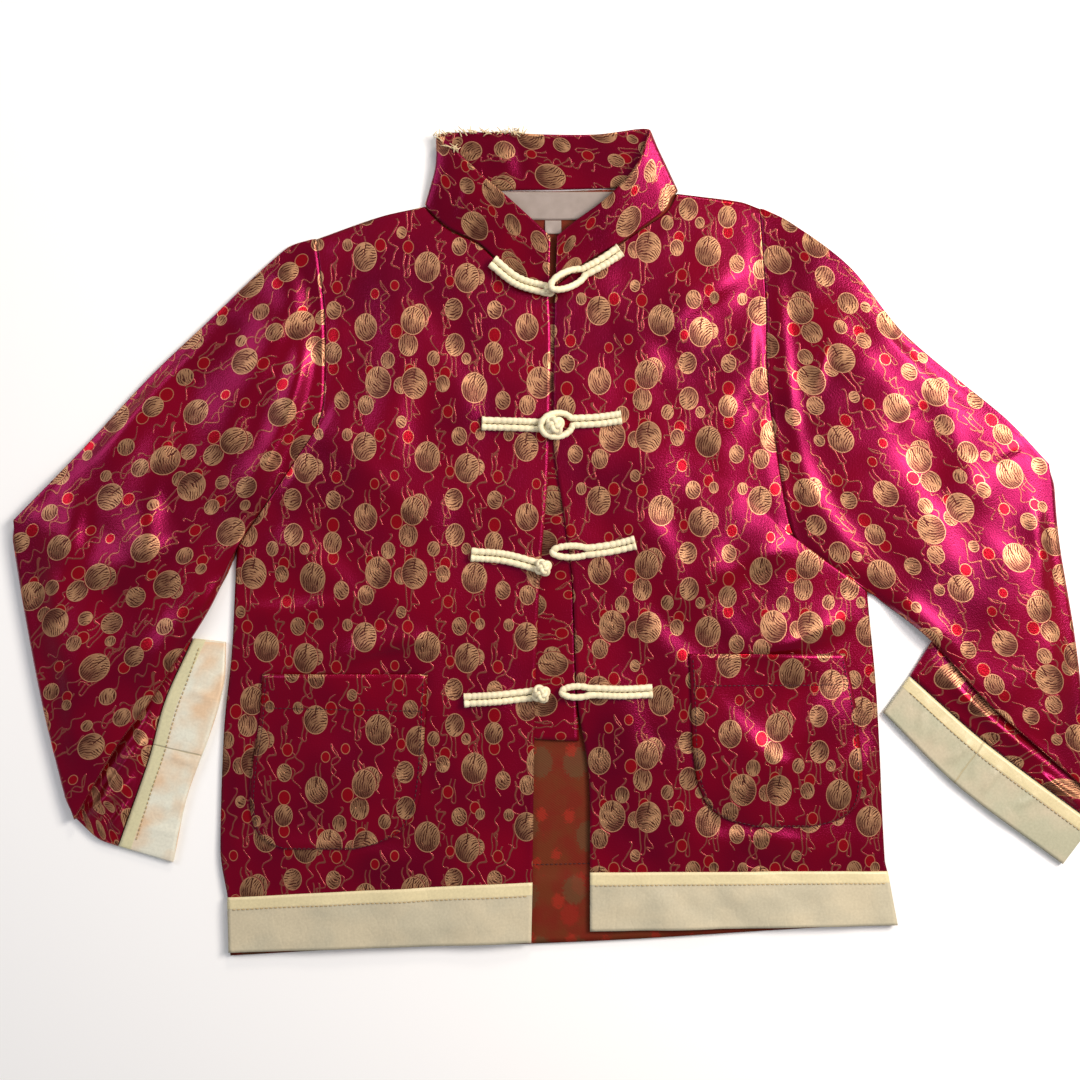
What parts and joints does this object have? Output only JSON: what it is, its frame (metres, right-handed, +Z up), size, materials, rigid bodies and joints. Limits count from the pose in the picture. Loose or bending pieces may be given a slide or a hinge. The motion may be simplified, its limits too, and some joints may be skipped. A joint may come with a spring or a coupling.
{
  "type": "tang jacket",
  "caption": "Tang jacket in figured brocade laid flat, with a stand collar, cord frog closures, patch pockets, cream hem bands and cuffs, and both sleeves folded under at the forearm.",
  "frame": {"origin": "on the underside of the back panel, on the surface that the jacket lies on, near the middle of the body", "axes": "+Z up out of the surface, +Y towards the collar, +X towards the wearer's left sleeve"},
  "size_m": [0.8684, 0.6621, 0.0208],
  "materials": {
    "brocade": "satin-faced jacquard brocade, magenta red with gold and red discs and gold lines",
    "cream_satin": "plain cream satin",
    "cream_cord": "cream satin covered cord",
    "label_satin": "pale satin label tape, bare"
  },
  "bodies": {
    "root": {"back": "brocade", "front_right": "brocade", "front_left": "brocade", "under_placket": "brocade", "sleeve_right": "brocade", "sleeve_left": "brocade", "collar": "brocade", "pocket_right": "brocade", "pocket_left": "brocade", "cuff_right": "cream_satin", "cuff_left": "cream_satin", "hem_band_right": "cream_satin", "hem_band_left": "cream_satin", "hem_band_back": "cream_satin", "frog_knot_1": "cream_cord", "frog_knot_2": "cream_cord", "frog_knot_3": "cream_cord", "frog_knot_4": "cream_cord", "frog_loop_1": "cream_cord", "frog_loop_2": "cream_cord", "frog_loop_3": "cream_cord", "frog_loop_4": "cream_cord", "label": "label_satin", "size_tag": "label_satin"}
  },
  "joints": []
}
